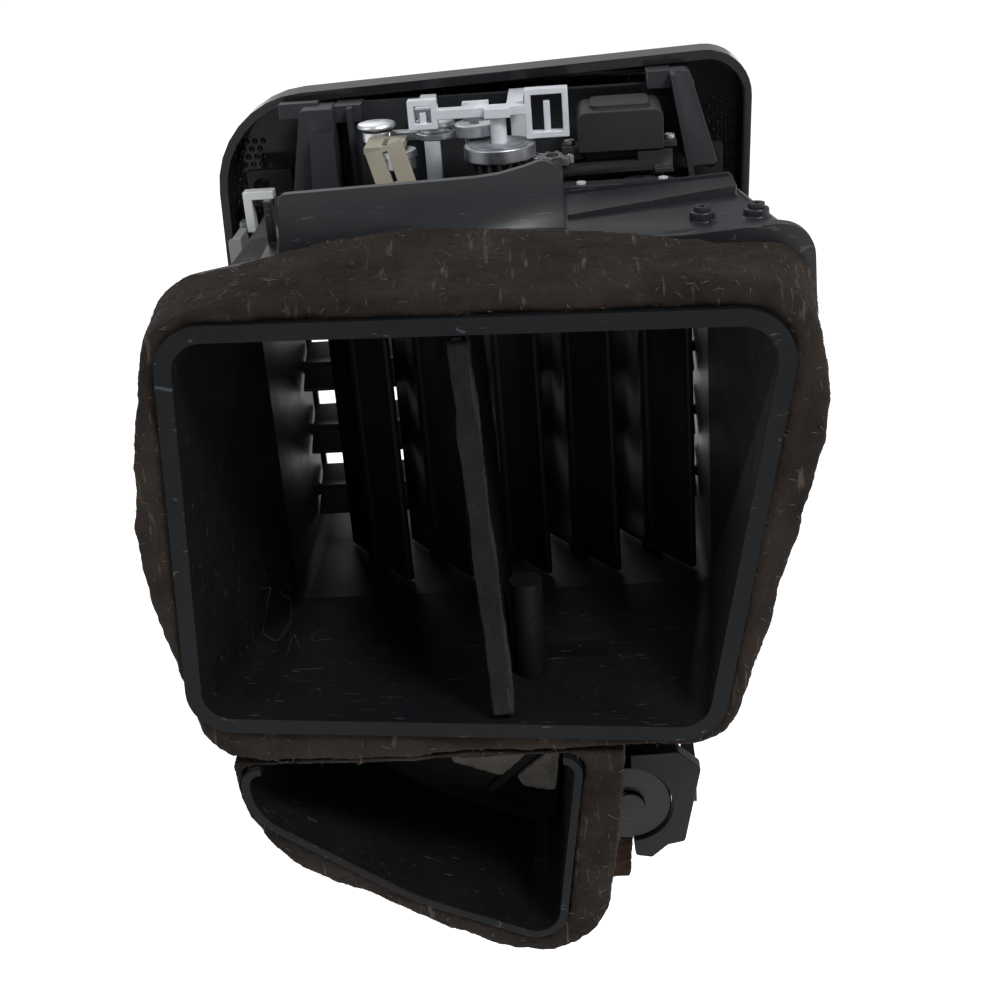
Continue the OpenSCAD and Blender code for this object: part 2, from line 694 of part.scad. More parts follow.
// Bright link from the drive wheel to the high crank
module drive_link() {
    pins_y = vane_pivot_y + high_pin[1];
    wheel_pin = wheel_x + high_pin[0];
    crank_pin = vane_x(4) + high_pin[0];
    spool = wheel_pin + 9.8;
    color("#c4c6ca") difference() {
        union() {
            block([wheel_pin, pins_y - 2, bar_z], [crank_pin, pins_y + 2, bar_z + 2]);
            translate([wheel_pin, pins_y, 0]) rod_z(5.3, bar_z, bar_z + bar_t);
            translate([crank_pin, pins_y, 0]) rod_z(3.8, bar_z, bar_z + bar_t - 0.4);
            // spool with two flanges
            translate([spool, pins_y, 0]) rod_z(5.3, bar_z, bar_z + 1.7);
            translate([spool, pins_y, 0]) rod_z(3.8, bar_z + 1.6, bar_z + 3);
            translate([spool, pins_y, 0]) rod_z(4.9, bar_z + 2.9, bar_z + 4.4);
        }
        for (x = [wheel_pin, crank_pin])
            translate([x, pins_y, 0]) rod_z(crank_pin_r + run, bar_z - 1, bar_z + bar_t + 1);
    }
}

// Round head that closes the link's far eye
module link_pin_head() {
    color("#d2d4d7") translate([vane_x(4) + high_pin[0], vane_pivot_y + high_pin[1], bar_z + bar_t + 0.3])
        rotate_extrude() polygon([[0, 0], [4.6, 0], [5, 0.5], [4.6, 1.2], [2, 1.6], [0, 1.6]]);
}

// Pale tongue with a slot, hung from the link's far eye
module slotted_tongue() {
    top = bar_z + 0.2;
    eye = [vane_x(4) + high_pin[0], vane_pivot_y + high_pin[1]];
    color("#8d8876") {
        difference() {
            block([eye[0] - 8, eye[1] + 3.9, top], [eye[0] + 1.6, eye[1] + 16.4, top + 1.6]);
            block([eye[0] - 3.8, eye[1] + 6, top - 1], [eye[0] - 2.6, eye[1] + 14.6, top + 3]);
        }
        translate([eye[0] - 3.2, eye[1] + 16.4, top + 1.6]) rotate([18, 17, 0]) difference() {
            block([-4.8, -1.6, -10.6], [4.8, 0, 0.1]);
            block([-0.6, -3, -8.8], [0.6, 1, -1.2]);
        }
    }
}

// --- horizontal fins ------------------------------------------------------

fin_section = [
    [-fin_chord / 2, -1, 0.9], [0, -1.5, 30], [fin_chord / 2, -0.7, 0.6],
    [fin_chord / 2, 0.7, 0.6], [0, 1.5, 30], [-fin_chord / 2, 1, 0.9]
];

module fin(k) {
    end = half_w - 0.7;
    color("#15161a") at_fin(k) {
        slab_x(fin_section, -end, end);
        rod_x(fin_pin_r, -strip_x - strip_t - 0.2, fin_arm_x + eps);
        rod_x(3, fin_arm_x, fin_arm_x + fin_arm_t);
        block([fin_arm_x, 0, -1.6], [fin_arm_x + fin_arm_t, fin_crank_r, 1.6]);
        translate([0, fin_crank_r, 0]) rod_x(2.3, fin_arm_x, fin_arm_x + fin_arm_t);
        translate([0, fin_crank_r, 0]) rod_x(crank_pin_r, fin_arm_x + eps, fin_link_x + fin_link_t + 0.5);
    }
}
module fin_1() { fin(1); }
module fin_2() { fin(2); }
module fin_3() { fin(3); }
module fin_4() { fin(4); }
module fin_5() { fin(5); }

// Upright bar that ties the fin cranks together, with a tab at its top
module fin_link() {
    y = fin_pin_at[0];
    low = fin_z(1) + fin_pin_at[1];
    high = fin_z(fin_count) + fin_pin_at[1];
    color("#74777a") difference() {
        union() {
            slab_x([[y - 2.6, low - 3.4, 1.6], [y + 2.6, low - 3.4, 1.6], [y + 2.6, 45, 1], [y - 2.6, 45, 1]],
                fin_link_x, fin_link_x + fin_link_t);
            slab_x([[y, 32.5, 1], [y + 13.4, 34.4, 1], [y + 13.4, 43.8, 1], [y, 43.8, 1]],
                fin_link_x, fin_link_x + fin_link_t);
            block([fin_link_x, y + 11, 35], [fin_link_x + fin_link_t + 1.2, y + 13.4, 43.2]);
        }
        for (k = [1 : fin_count])
            translate([0, y, fin_z(k) + fin_pin_at[1]]) rod_x(crank_pin_r + run, fin_link_x - 1, fin_link_x + 5);
    }
}

// White hook on the bar's top that reaches over the vane box
module fin_link_hook() {
    y0 = fin_pin_at[0] + 0.6;
    inner = fin_link_x - seat;
    color("#e4e6e8") {
        block([inner - 2.3, y0, 42.7], [inner, y0 + 4, 53.5]);
        block([54.6, y0, 51.3], [inner - 2.2, y0 + 4, 53.5]);
    }
}

module thumb_slider() {
    color("#1a1b1e") at_fin(3) translate([slider_x + vane_x(3), 0, 0]) difference() {
        slab_x([[-12.4, -2.6, 1.4], [-3, -3.1, 1], [-3, 3.1, 1], [-12.4, 2.6, 1.4]], -9, 9);
        slab_x(grown(fin_section, 0.25), -10, 10);
    }
}

// Fork behind the slider that holds the middle vane's front edge
module slider_fork() {
    z0 = 1.95;
    z1 = 3.1;
    gap = 2.7;
    color("#c9cac6") at_fin(3) translate([slider_x + vane_x(3), 0, 0]) {
        block([-2.2, -3 + seat, z0], [2.2, 11.4, z1]);
        block([-gap - 1.9, 10.6, z0], [gap + 1.9, 12.2, z1]);
        for (s = [0, 1])
            mirror([s, 0, 0]) block([gap, 12.1, z0], [gap + 1.9, 18.6, z1]);
    }
}

// --- lower flap and its drive ---------------------------------------------

module flap() {
    color("#202124") {
        difference() {
            translate([0, flap_y, 0]) slab_y(grown(low_outline, -1), -1, 1);
            at_flap() rod_x(vane_pin_r - eps, -30, 70);
        }
        at_flap() rod_x(vane_pin_r, -23.4, 62);
        // stiffening bars on the rear face
        block([-12, flap_y + 0.9, -74.6], [50, flap_y + 2.6, -73.6]);
        translate([-3.5, flap_y + 0.9, -91]) rotate([0, 42, 0]) block([-13, 0, -1.1], [14, 1.7, 1.1]);
    }
}

module flap_foam() {
    face = flap_y + 1 + seat;
    color("#857d70") {
        slab_y([[16.4, -76.6, 0.8], [16.4, -90.2, 0.8], [3.2, -95, 0.8], [-11.6, -81.6, 0.8], [-11.6, -76.6, 0.8]],
            face, face + 2.4);
        slab_y([[-13.2, -84.6, 0.6], [-0.8, -95.8, 0.6], [-2.4, -98.8, 0.6], [-11.2, -100.6, 0.6]],
            face, face + 2.4);
    }
}

module flap_coupling() {
    color("#c9cac6") at_flap() difference() {
        rod_x(4, -33, -21.2);
        rod_x(vane_pin_r + 0.02, -23.5, -20);
    }
}

box_x = [-44, -22.2];
can_at = [-30.2, 0, -91];
can_r = 10.8;

module flap_gearbox() {
    color("#1d1e21") difference() {
        union() {
            slab_y([[box_x[1], -63, 2], [box_x[1], -102, 2], [box_x[0], -102, 4], [box_x[0], -63, 4]], 45, 70);
            // ears against the side of the duct
            slab_y([[-20.4, -66, 0.4], [box_x[1] - 1, -66, 0.4], [box_x[1] - 1, -98, 0.4], [-20.4, -98, 0.4]], 47, 50);
        }
        at_flap() rod_x(4 + run, -33.5, -15);
    }
}

module flap_motor_can() {
    color("#3a3c40") {
        translate(can_at) rod_y(can_r, 70 + seat, 85);
        translate(can_at) rod_y(4, 85 - eps, 86.6);
    }
}

module flap_motor_bracket() {
    color("#17181b") {
        difference() {
            slab_y([[-27, -76, 1], [-43, -75.4, 1.4], [-48.6, -80.6, 1.6], [-44.2, -102.8, 1], [-39.8, -103.8, 1],
                [-35.6, -107.6, 1], [-31.4, -106.8, 1], [-30.8, -99, 1]], 82.4, 86);
            translate(can_at) rod_y(can_r + 0.25, 80, 90);
            block([-31, 80, -103.2], [-20, 90, -70]);
        }
        difference() {
            block([-47.6, 70 + seat, -93], [-44.4, 82.5, -81.5]);
            block([-48, 72, -91.6], [-45.8, 80, -83]);
        }
    }
}

// Socket on the gearbox's front side
module flap_connector() {
    color("#26272a") difference() {
        block([-41.5, 36, -90.6], [-30.5, 45 - seat, -80.4]);
        block([-40.3, 35, -89.4], [-31.7, 41.5, -81.6]);
    }
}

module gearbox_screws() {
    color("#9a9b9e") for (at = [[-39.6, -67], [-40.4, -99.4]])
        translate([at[0], 70 + eps, at[1]]) rotate([-90, 0, 0]) screw(1.7, 1.4, 1, 0);
}

module foam_pad() {
    color("#5a3a2c") slab_y([[-25.2, -103, 1], [-31, -103, 1], [-30, -116.8, 1], [-24.4, -116.8, 1]], 74, 82);
}

bezel();
vane_box();
mechanism_frame();
duct_shroud();
rear_duct();
centre_partition();
partition_edge_strip();
lower_duct();
main_foam_gasket();
lower_foam_gasket();
box_screws();
fin_bearing_left();
fin_bearing_right();
gear_bridge();
vane_motor();
motor_connector();
motor_screws();
vane_1();
vane_2();
vane_3();
vane_4();
vane_5();
vane_crank_1();
vane_crank_2();
vane_crank_3();
vane_crank_4();
vane_crank_5();
vane_link();
upper_crank();
drive_wheel();
wheel_disc();
motor_pinion();
drive_link();
link_pin_head();
slotted_tongue();
fin_1();
fin_2();
fin_3();
fin_4();
fin_5();
fin_link();
fin_link_hook();
thumb_slider();
slider_fork();
flap();
flap_foam();
flap_coupling();
flap_gearbox();
flap_motor_can();
flap_motor_bracket();
flap_connector();
gearbox_screws();
foam_pad();
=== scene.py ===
import json
import math
import random

import bmesh
import bpy
import numpy as np
from mathutils import Matrix, Vector, noise
from mathutils.bvhtree import BVHTree
from mathutils.geometry import intersect_point_line


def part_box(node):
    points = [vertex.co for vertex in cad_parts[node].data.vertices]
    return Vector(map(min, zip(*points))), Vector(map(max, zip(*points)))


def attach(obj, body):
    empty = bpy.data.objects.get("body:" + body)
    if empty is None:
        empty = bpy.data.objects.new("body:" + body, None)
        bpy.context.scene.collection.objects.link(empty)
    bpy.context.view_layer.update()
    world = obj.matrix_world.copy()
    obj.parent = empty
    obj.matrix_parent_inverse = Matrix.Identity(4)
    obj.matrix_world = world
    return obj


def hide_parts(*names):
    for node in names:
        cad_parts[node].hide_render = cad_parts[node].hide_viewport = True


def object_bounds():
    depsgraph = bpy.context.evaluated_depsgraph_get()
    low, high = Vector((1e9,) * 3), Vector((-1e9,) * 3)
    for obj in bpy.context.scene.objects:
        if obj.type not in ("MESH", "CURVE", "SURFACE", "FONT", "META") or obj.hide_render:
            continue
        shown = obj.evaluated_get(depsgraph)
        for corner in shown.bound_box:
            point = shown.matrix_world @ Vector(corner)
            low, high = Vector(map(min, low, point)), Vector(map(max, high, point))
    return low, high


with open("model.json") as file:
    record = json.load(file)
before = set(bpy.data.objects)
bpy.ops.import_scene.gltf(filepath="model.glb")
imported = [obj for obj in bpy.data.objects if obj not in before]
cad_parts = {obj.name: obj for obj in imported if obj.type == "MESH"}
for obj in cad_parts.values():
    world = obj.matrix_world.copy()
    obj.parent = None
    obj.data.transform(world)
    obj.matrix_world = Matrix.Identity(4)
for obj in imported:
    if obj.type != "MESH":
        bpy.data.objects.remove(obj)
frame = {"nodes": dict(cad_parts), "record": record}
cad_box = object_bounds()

MM = 0.001
UP = Vector((0, 0, 1))

# Camera: where it looks in millimetres, its azimuth and elevation in degrees, and its distance in metres
CAMERA_TARGET = Vector((-5, 106, 5.5))
CAMERA_AZIMUTH = 184
CAMERA_ELEVATION = 25
CAMERA_DISTANCE = 0.335
CAMERA_ROLL = 4.5
CAMERA_LENS = 55.7

FLOOR_DROP = 0.16
FLOOR_HALF = 12.0

random.seed(11)
scene = bpy.context.scene


# --- camera, light and floor -------------------------------------------------

def looking_matrix(place, towards, roll=0.0):
    """Matrix of a camera or lamp at place that looks at towards, rolled clockwise in degrees."""
    back = (place - towards).normalized()
    right = (-back).cross(UP).normalized()
    up = right.cross(-back)
    turn = math.radians(roll)
    right_r = right * math.cos(turn) - up * math.sin(turn)
    up_r = up * math.cos(turn) + right * math.sin(turn)
    m = Matrix((right_r, up_r, back)).transposed().to_4x4()
    m.translation = place
    return m


def from_angles(target, azimuth, elevation, distance):
    """The point at that distance from target; azimuth 0 is on the -Y side, 180 on the +Y side."""
    a, e = math.radians(azimuth), math.radians(elevation)
    back = Vector((math.sin(a) * math.cos(e), -math.cos(a) * math.cos(e), math.sin(e)))
    return target + back * distance


def add_camera():
    target = CAMERA_TARGET * MM
    data = bpy.data.cameras.new("camera")
    data.lens = CAMERA_LENS
    data.sensor_width = 36
    data.clip_start = 0.01
    camera = bpy.data.objects.new("camera", data)
    scene.collection.objects.link(camera)
    place = from_angles(target, CAMERA_AZIMUTH, CAMERA_ELEVATION, CAMERA_DISTANCE)
    camera.matrix_world = looking_matrix(place, target, CAMERA_ROLL)
    scene.camera = camera


def add_lamp(name, azimuth, elevation, distance, size, watts, colour=(1, 1, 1)):
    """A round soft lamp that shines on the middle of the part."""
    middle = Vector((0, 45, 0)) * MM
    data = bpy.data.lights.new(name, "AREA")
    data.shape = "DISK"
    data.size = size
    data.energy = watts
    data.color = colour
    lamp = bpy.data.objects.new(name, data)
    scene.collection.objects.link(lamp)
    lamp.matrix_world = looking_matrix(from_angles(middle, azimuth, elevation, distance), middle)


def add_studio():
    scene.view_settings.view_transform = "Standard"
    add_lamp("key", 222, 52, 1.1, 0.30, 9, (1.0, 0.985, 0.96))
    add_lamp("left_fill", 120, 32, 1.5, 0.7, 4, (0.9, 0.96, 1.0))
    add_lamp("front_fill", 20, 40, 1.6, 1.0, 4.5)
    world = bpy.data.worlds.new("studio")
    world.use_nodes = True
    world.node_tree.nodes["Background"].inputs["Color"].default_value = (0.95, 0.97, 1.0, 1)
    world.node_tree.nodes["Background"].inputs["Strength"].default_value = 0.4
    scene.world = world
    floor_z = cad_box[0][2] - FLOOR_DROP
    mesh = bpy.data.meshes.new("floor")
    half = FLOOR_HALF
    mesh.from_pydata([(-half, -half, floor_z), (half, -half, floor_z), (half, half, floor_z),
                      (-half, half, floor_z)], [], [(0, 1, 2, 3)])
    floor = bpy.data.objects.new("floor", mesh)
    scene.collection.objects.link(floor)
    floor.data.materials.append(paper_white())


# --- node helpers ---------------------------------------------------------------

class Graph:
    """Short calls for building one material's nodes."""

    def __init__(self, name):
        self.material = bpy.data.materials.new(name)
        self.material.use_nodes = True
        self.nodes = self.material.node_tree.nodes
        self.links = self.material.node_tree.links
        self.shader = self.nodes["Principled BSDF"]
        self.place = self.nodes.new("ShaderNodeTexCoord").outputs["Object"]

    def put(self, socket, value):
        if isinstance(value, bpy.types.NodeSocket):
            self.links.new(value, socket)
        else:
            socket.default_value = value

    def set(self, **values):
        names = {"base": "Base Color", "rough": "Roughness", "metal": "Metallic", "normal": "Normal",
                 "spec": "Specular IOR Level", "coat": "Coat Weight", "coat_rough": "Coat Roughness",
                 "sheen": "Sheen Weight", "sheen_rough": "Sheen Roughness"}
        for key, value in values.items():
            if key == "base" and isinstance(value, tuple) and len(value) == 3:
                value = (*value, 1)
            self.put(self.shader.inputs[names[key]], value)

    def stretch(self, scale):
        node = self.nodes.new("ShaderNodeMapping")
        self.links.new(self.place, node.inputs["Vector"])
        node.inputs["Scale"].default_value = scale
        return node.outputs["Vector"]

    def noise(self, scale, detail=3, rough=0.55, vector=None, distortion=0.0):
        node = self.nodes.new("ShaderNodeTexNoise")
        self.links.new(vector or self.place, node.inputs["Vector"])
        node.inputs["Scale"].default_value = scale
        node.inputs["Detail"].default_value = detail
        node.inputs["Roughness"].default_value = rough
        node.inputs["Distortion"].default_value = distortion
        return node.outputs["Fac"]

    def cells(self, scale):
        node = self.nodes.new("ShaderNodeTexVoronoi")
        self.links.new(self.place, node.inputs["Vector"])
        node.inputs["Scale"].default_value = scale
        return node.outputs["Distance"]

    def ramp(self, value, low, high, out_low=0.0, out_high=1.0):
        node = self.nodes.new("ShaderNodeMapRange")
        for key, v in zip(("Value", "From Min", "From Max", "To Min", "To Max"),
                          (value, low, high, out_low, out_high)):
            self.put(node.inputs[key], v)
        return node.outputs["Result"]

    def math(self, kind, a, b=0.0):
        node = self.nodes.new("ShaderNodeMath")
        node.operation = kind
        self.put(node.inputs[0], a)
        self.put(node.inputs[1], b)
        return node.outputs[0]

    def mix(self, factor, a, b):
        node = self.nodes.new("ShaderNodeMix")
        node.data_type = "RGBA"
        self.put(node.inputs[0], factor)
        self.put(node.inputs[6], (*a, 1) if isinstance(a, tuple) else a)
        self.put(node.inputs[7], (*b, 1) if isinstance(b, tuple) else b)
        return node.outputs[2]

    def near(self, point, radius):
        """1 at point (in millimetres), falling to 0 at radius."""
        node = self.nodes.new("ShaderNodeVectorMath")
        node.operation = "DISTANCE"
        self.links.new(self.place, node.inputs[0])
        node.inputs[1].default_value = Vector(point) * MM
        return self.ramp(node.outputs["Value"], radius * MM * 0.3, radius * MM, 1, 0)

    def bump(self, height, depth_mm, strength=1.0):
        node = self.nodes.new("ShaderNodeBump")
        node.inputs["Strength"].default_value = strength
        node.inputs["Distance"].default_value = depth_mm * MM
        self.links.new(height, node.inputs["Height"])
        return node.outputs["Normal"]


def shade(colour, factor):
    return tuple(c * factor for c in colour)


# --- materials -------------------------------------------------------------------

def paper_white():
    g = Graph("pale_floor")
    g.set(base=(0.93, 0.93, 0.93), rough=0.9, spec=0.1)
    g.shader.inputs["Emission Color"].default_value = (1, 1, 1, 1)
    g.shader.inputs["Emission Strength"].default_value = 0.68
    return g.material


def moulded(name, colour, rough=0.5, grain=0.02, dust=0.25, scratches=0.0, spec=0.2, glinting_scuffs=()):
    """Moulded plastic: fine spark-eroded grain, faint flow mottling, dust, thin scratches and, at the given
    points, scratch curls painted lighter as a painted highlight.
    """
    g = Graph(name)
    fine = g.noise(2600, 2)
    cloud = g.noise(55, 4, 0.6)
    specks = g.ramp(g.noise(900, 3, 0.75), 0.66, 0.8)
    tint = g.mix(cloud, shade(colour, 0.8), shade(colour, 1.3))
    dusty = g.math("MULTIPLY", g.ramp(g.noise(24, 5, 0.7), 0.45, 0.8), dust)
    tint = g.mix(dusty, tint, (0.11, 0.11, 0.11))
    tint = g.mix(g.math("MULTIPLY", specks, dust), tint, (0.2, 0.19, 0.17))
    roughness = g.ramp(cloud, 0.3, 0.7, rough - 0.06, rough + 0.08)
    height = g.bump(fine, grain)
    lines = g.ramp(g.noise(150, 4, 0.5, g.stretch((1, 9, 3)), 1.2), 0.665, 0.69)
    lines = g.math("MULTIPLY", lines, scratches)
    # Curls at these points are painted lighter: real scratches drawn with the painted highlight they catch.
    for point, radius in glinting_scuffs:
        swirl = g.noise(70, 1, 0.4, g.stretch((1.4, 0.6, 1)), 1.5)
        swirl = g.math("ABSOLUTE", g.math("SUBTRACT", swirl, 0.5))
        glint_curls = g.math("MULTIPLY", g.ramp(swirl, 0.001, 0.007, 0.75, 0), g.near(point, radius))
        lines = g.math("MAXIMUM", lines, glint_curls)
    tint = g.mix(lines, tint, (0.16, 0.17, 0.18))
    g.set(base=tint, rough=roughness, spec=spec, normal=height)
    return g.material


def polished(name, colour):
    """Smooth black plastic with a thin coat, faint haze and hairlines."""
    g = Graph(name)
    haze = g.noise(38, 4, 0.6)
    hair = g.ramp(g.noise(210, 5, 0.6, g.stretch((7, 1, 1)), 0.6), 0.68, 0.72)
    rough = g.ramp(haze, 0.35, 0.75, 0.09, 0.2)
    rough = g.math("ADD", rough, g.math("MULTIPLY", hair, 0.12))
    tint = g.mix(g.ramp(haze, 0.4, 0.8), shade(colour, 0.9), shade(colour, 1.5))
    g.set(base=tint, rough=rough, spec=0.16, coat=0.05, coat_rough=0.06,
          normal=g.bump(g.noise(45, 2), 0.02, 0.5))
    return g.material


def metal(name, colour, rough=0.28, stretch=(1, 14, 1)):
    """Metal with drawn lines and dull patches."""
    g = Graph(name)
    lines = g.noise(900, 3, 0.6, g.stretch(stretch))
    patches = g.noise(160, 4, 0.6)
    tint = g.mix(patches, shade(colour, 0.62), shade(colour, 1.12))
    g.set(base=tint, metal=1.0, rough=g.ramp(patches, 0.3, 0.75, rough - 0.06, rough + 0.2),
          normal=g.bump(lines, 0.012))
    return g.material


def foam(name, colour, light, cell=900):
    """Open-cell foam or felt: pores, a streaky nap, light hairs and dusty patches."""
    g = Graph(name)
    pores = g.cells(cell)
    clumps = g.noise(120, 6, 0.75)
    nap = g.noise(1300, 4, 0.7, g.stretch((1, 0.2, 0.2)))
    drift = g.noise(26, 3, 0.6)
    tint = g.mix(g.ramp(clumps, 0.3, 0.72), shade(colour, 0.55), shade(colour, 1.35))
    tint = g.mix(g.ramp(drift, 0.45, 0.75, 0, 0.45), tint, shade(light, 0.5))
    hairs = g.ramp(g.noise(560, 3, 0.6, g.stretch((1, 0.14, 0.14))), 0.62, 0.72)
    tint = g.mix(g.math("MULTIPLY", hairs, 0.6), tint, light)
    height = g.math("ADD", g.math("MULTIPLY", pores, 0.5), g.math("MULTIPLY", nap, 0.9))
    height = g.math("ADD", height, g.math("MULTIPLY", clumps, 0.3))
    g.set(base=tint, rough=0.97, spec=0.03, sheen=0.03, sheen_rough=0.6, normal=g.bump(height, 0.35))
    return g.material


def fibre(name, colour):
    """The look of loose hairs on foam and felt."""
    g = Graph(name)
    g.set(base=g.mix(g.noise(300, 2), shade(colour, 0.5), shade(colour, 1.3)), rough=0.7, spec=0.2)
    return g.material


SLOTS = {m["slot"]: tuple(m["base_color"][:3]) for m in frame["record"]["materials"]}
# Real scratches on the duct floor by the left wall, whose curls are painted lighter as a painted highlight
# of their glints.
FLOOR_SCUFF_GLINT = ((56, 62, -46), 17)

LOOKS = {
    "gloss_black": polished("gloss_black", SLOTS["gloss_black"]),
    "box_black": moulded("box_black", shade(SLOTS["box_black"], 0.2), 0.5, 0.03, 0.08),
    "frame_grey": moulded("frame_grey", shade(SLOTS["frame_grey"], 0.62), 0.42, 0.015, 0.1),
    # duct_black and shroud_black_painted_lit are two copies of one slot's plastic: the duct's inside is
    # painted darker as painted shade, and the shroud is painted lighter as painted light on its top
    # surfaces.
    "duct_black": moulded("duct_black", (0.0036, 0.0043, 0.0054), 0.55, 0.02, 0.03, 0.2, 0.12,
                          glinting_scuffs=(FLOOR_SCUFF_GLINT,)),
    "shroud_black_painted_lit": moulded("shroud_black_painted_lit", shade(SLOTS["duct_black"], 0.6), 0.4, 0.015, 0.05, 0.2, 0.35),
    "worn_zinc": metal("worn_zinc", (0.5, 0.51, 0.54), 0.36, (1, 1, 1)),
    "vane_black": moulded("vane_black", shade(SLOTS["vane_black"], 0.4), 0.5, 0.015, 0.04, spec=0.1),
    "fin_black": moulded("fin_black", SLOTS["fin_black"], 0.42, 0.015, 0.08),
    "felt": foam("felt", shade(SLOTS["felt"], 0.16), (0.03, 0.031, 0.03), 1400),
    "foam": foam("foam", shade(SLOTS["foam"], 0.36), (0.09, 0.074, 0.06)),
    "pale_foam": foam("pale_foam", SLOTS["pale_foam"], (0.4, 0.37, 0.32)),
    "brown_foam": foam("brown_foam", shade(SLOTS["brown_foam"], 0.3), (0.06, 0.035, 0.025)),
    "zinc_steel": metal("zinc_steel", SLOTS["zinc_steel"], 0.32, (1, 1, 1)),
    "bright_steel": metal("bright_steel", shade(SLOTS["bright_steel"], 1.4), 0.34),
    "dark_steel": metal("dark_steel", shade(SLOTS["dark_steel"], 0.35), 0.3),
    "light_pom": moulded("light_pom", shade(SLOTS["light_pom"], 1.25), 0.26, 0.01, 0.15, spec=0.7),
    "natural_pom": moulded("natural_pom", SLOTS["natural_pom"], 0.4, 0.01, 0.1),
    "white_pom": moulded("white_pom", shade(SLOTS["white_pom"], 0.55), 0.38, 0.01, 0.1, spec=0.5),
    "grey_pom": moulded("grey_pom", SLOTS["grey_pom"], 0.38, 0.01, 0.15),
    "beige_plastic": moulded("beige_plastic", shade(SLOTS["beige_plastic"], 0.95), 0.5, 0.03, 0.25),
    "motor_grey": moulded("motor_grey", shade(SLOTS["motor_grey"], 0.58), 0.5, 0.03, 0.1),
}
NODE_SLOT = {s["node"]: s["material_slot"] for s in frame["record"]["subparts"]}
# The shroud takes the lit copy of the duct plastic, a painted light.
NODE_LOOK = {
    **NODE_SLOT, "duct_shroud": "shroud_black_painted_lit", "wheel_disc": "worn_zinc", "upper_crank": "worn_zinc",
}
NODE_BODY = {n: b for b, nodes in frame["record"]["behaviour"]["bodies"].items() for n in nodes}


# --- mesh helpers --------------------------------------------------------------

def new_piece(name, mesh, body, slot, replaced=()):
    """A finished mesh as a piece: rides on body, takes the slot's look and stands for CAD nodes."""
    piece = bpy.data.objects.new(name, mesh)
    scene.collection.objects.link(piece)
    mesh.materials.clear()
    mesh.materials.append(LOOKS[slot])
    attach(piece, body)
    if replaced:
        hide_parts(*replaced)
    return piece


def smooth_by_angle(mesh, degrees):
    mesh.shade_smooth()
    mesh.set_sharp_from_angle(angle=math.radians(degrees))


def evaluated(piece):
    """The piece's mesh with its modifiers applied."""
    bpy.context.view_layer.update()
    return bpy.data.meshes.new_from_object(piece.evaluated_get(bpy.context.evaluated_depsgraph_get()))


# Rounding of edges. Lengths are in millimetres, angles in degrees and the rest are shares.
WELD = 0.01
FLAT_ANGLE = 0.6
SMOOTH_ANGLE = 30
ROOM_SHARE = 2.1
STRAY_SHARE = 0.8
SPILL_SHARE = 1.001
SPILL_AREA = 0.3
SHRINK = 0.55
SHRINK_END = 0.3
SHRINK_ROUNDS = 8


def surface_of(node):
    """A search tree of the CAD node's surface."""
    cad = frame["nodes"][node].data
    return BVHTree.FromPolygons([v.co for v in cad.vertices], [tuple(p.vertices) for p in cad.polygons])


def has_room(edge, room):
    """True if each face beside the edge is wider than room, so that a rounding fits on it."""
    start, end = edge.verts[0].co, edge.verts[1].co
    along = (end - start).normalized()
    for corner in edge.verts:
        for other in corner.link_edges:
            if other is not edge and other.calc_length() < room / 4:
                turn = along.dot((other.verts[1].co - other.verts[0].co).normalized())
                if abs(turn) < 0.8:
                    return False
    for face in edge.link_faces:
        inward = face.normal.cross(along)
        if inward.dot(face.calc_center_median() - start) < 0:
            inward.negate()
        for other in face.edges:
            if set(other.verts) & set(edge.verts):
                continue
            a, b = other.verts[0].co, other.verts[1].co
            for t in (0.0, 0.5, 1.0):
                spot = start.lerp(end, t)
                near = a.lerp(b, min(1, max(0, intersect_point_line(spot, a, b)[1])))
                gap = near - spot
                if gap.length < room and abs(gap.dot(inward)) > 0.6 * gap.length:
                    return False
    return True


def flat_copy(node, width, degrees):
    """The CAD node's mesh with flat faces made whole and roomy sharp edges weighted for a rounding."""
    bm = bmesh.new()
    bm.from_mesh(frame["nodes"][node].data)
    bmesh.ops.remove_doubles(bm, verts=bm.verts, dist=WELD * MM)
    bmesh.ops.dissolve_limit(bm, angle_limit=math.radians(FLAT_ANGLE), verts=bm.verts, edges=bm.edges)
    weight = bm.edges.layers.float.new("bevel_weight_edge")
    source = bm.faces.layers.int.new("source")
    bm.faces.index_update()
    for face in bm.faces:
        face[source] = face.index
    for edge in bm.edges:
        if len(edge.link_faces) == 2 and edge.calc_face_angle(0) > math.radians(degrees):
            edge[weight] = 1.0 if has_room(edge, ROOM_SHARE * width * MM) else 0.0
    mesh = bpy.data.meshes.new(node + "_round")
    bm.to_mesh(mesh)
    bm.free()
    smooth_by_angle(mesh, SMOOTH_ANGLE)
    return mesh


def faulty_faces(mesh, surface, reach):
    """Source faces of polygons that stray from the CAD surface or spill over their own outline."""
    mesh.calc_loop_triangles()
    filled = [0.0] * len(mesh.polygons)
    for triangle in mesh.loop_triangles:
        filled[triangle.polygon_index] += triangle.area
    stray = {v.index for v in mesh.vertices if surface.find_nearest(v.co)[3] > reach}
    source = mesh.attributes["source"].data
    return {source[polygon.index].value for polygon, area in zip(mesh.polygons, filled)
            if area > polygon.area * SPILL_SHARE + SPILL_AREA * MM * MM
            or stray.intersection(polygon.vertices)}


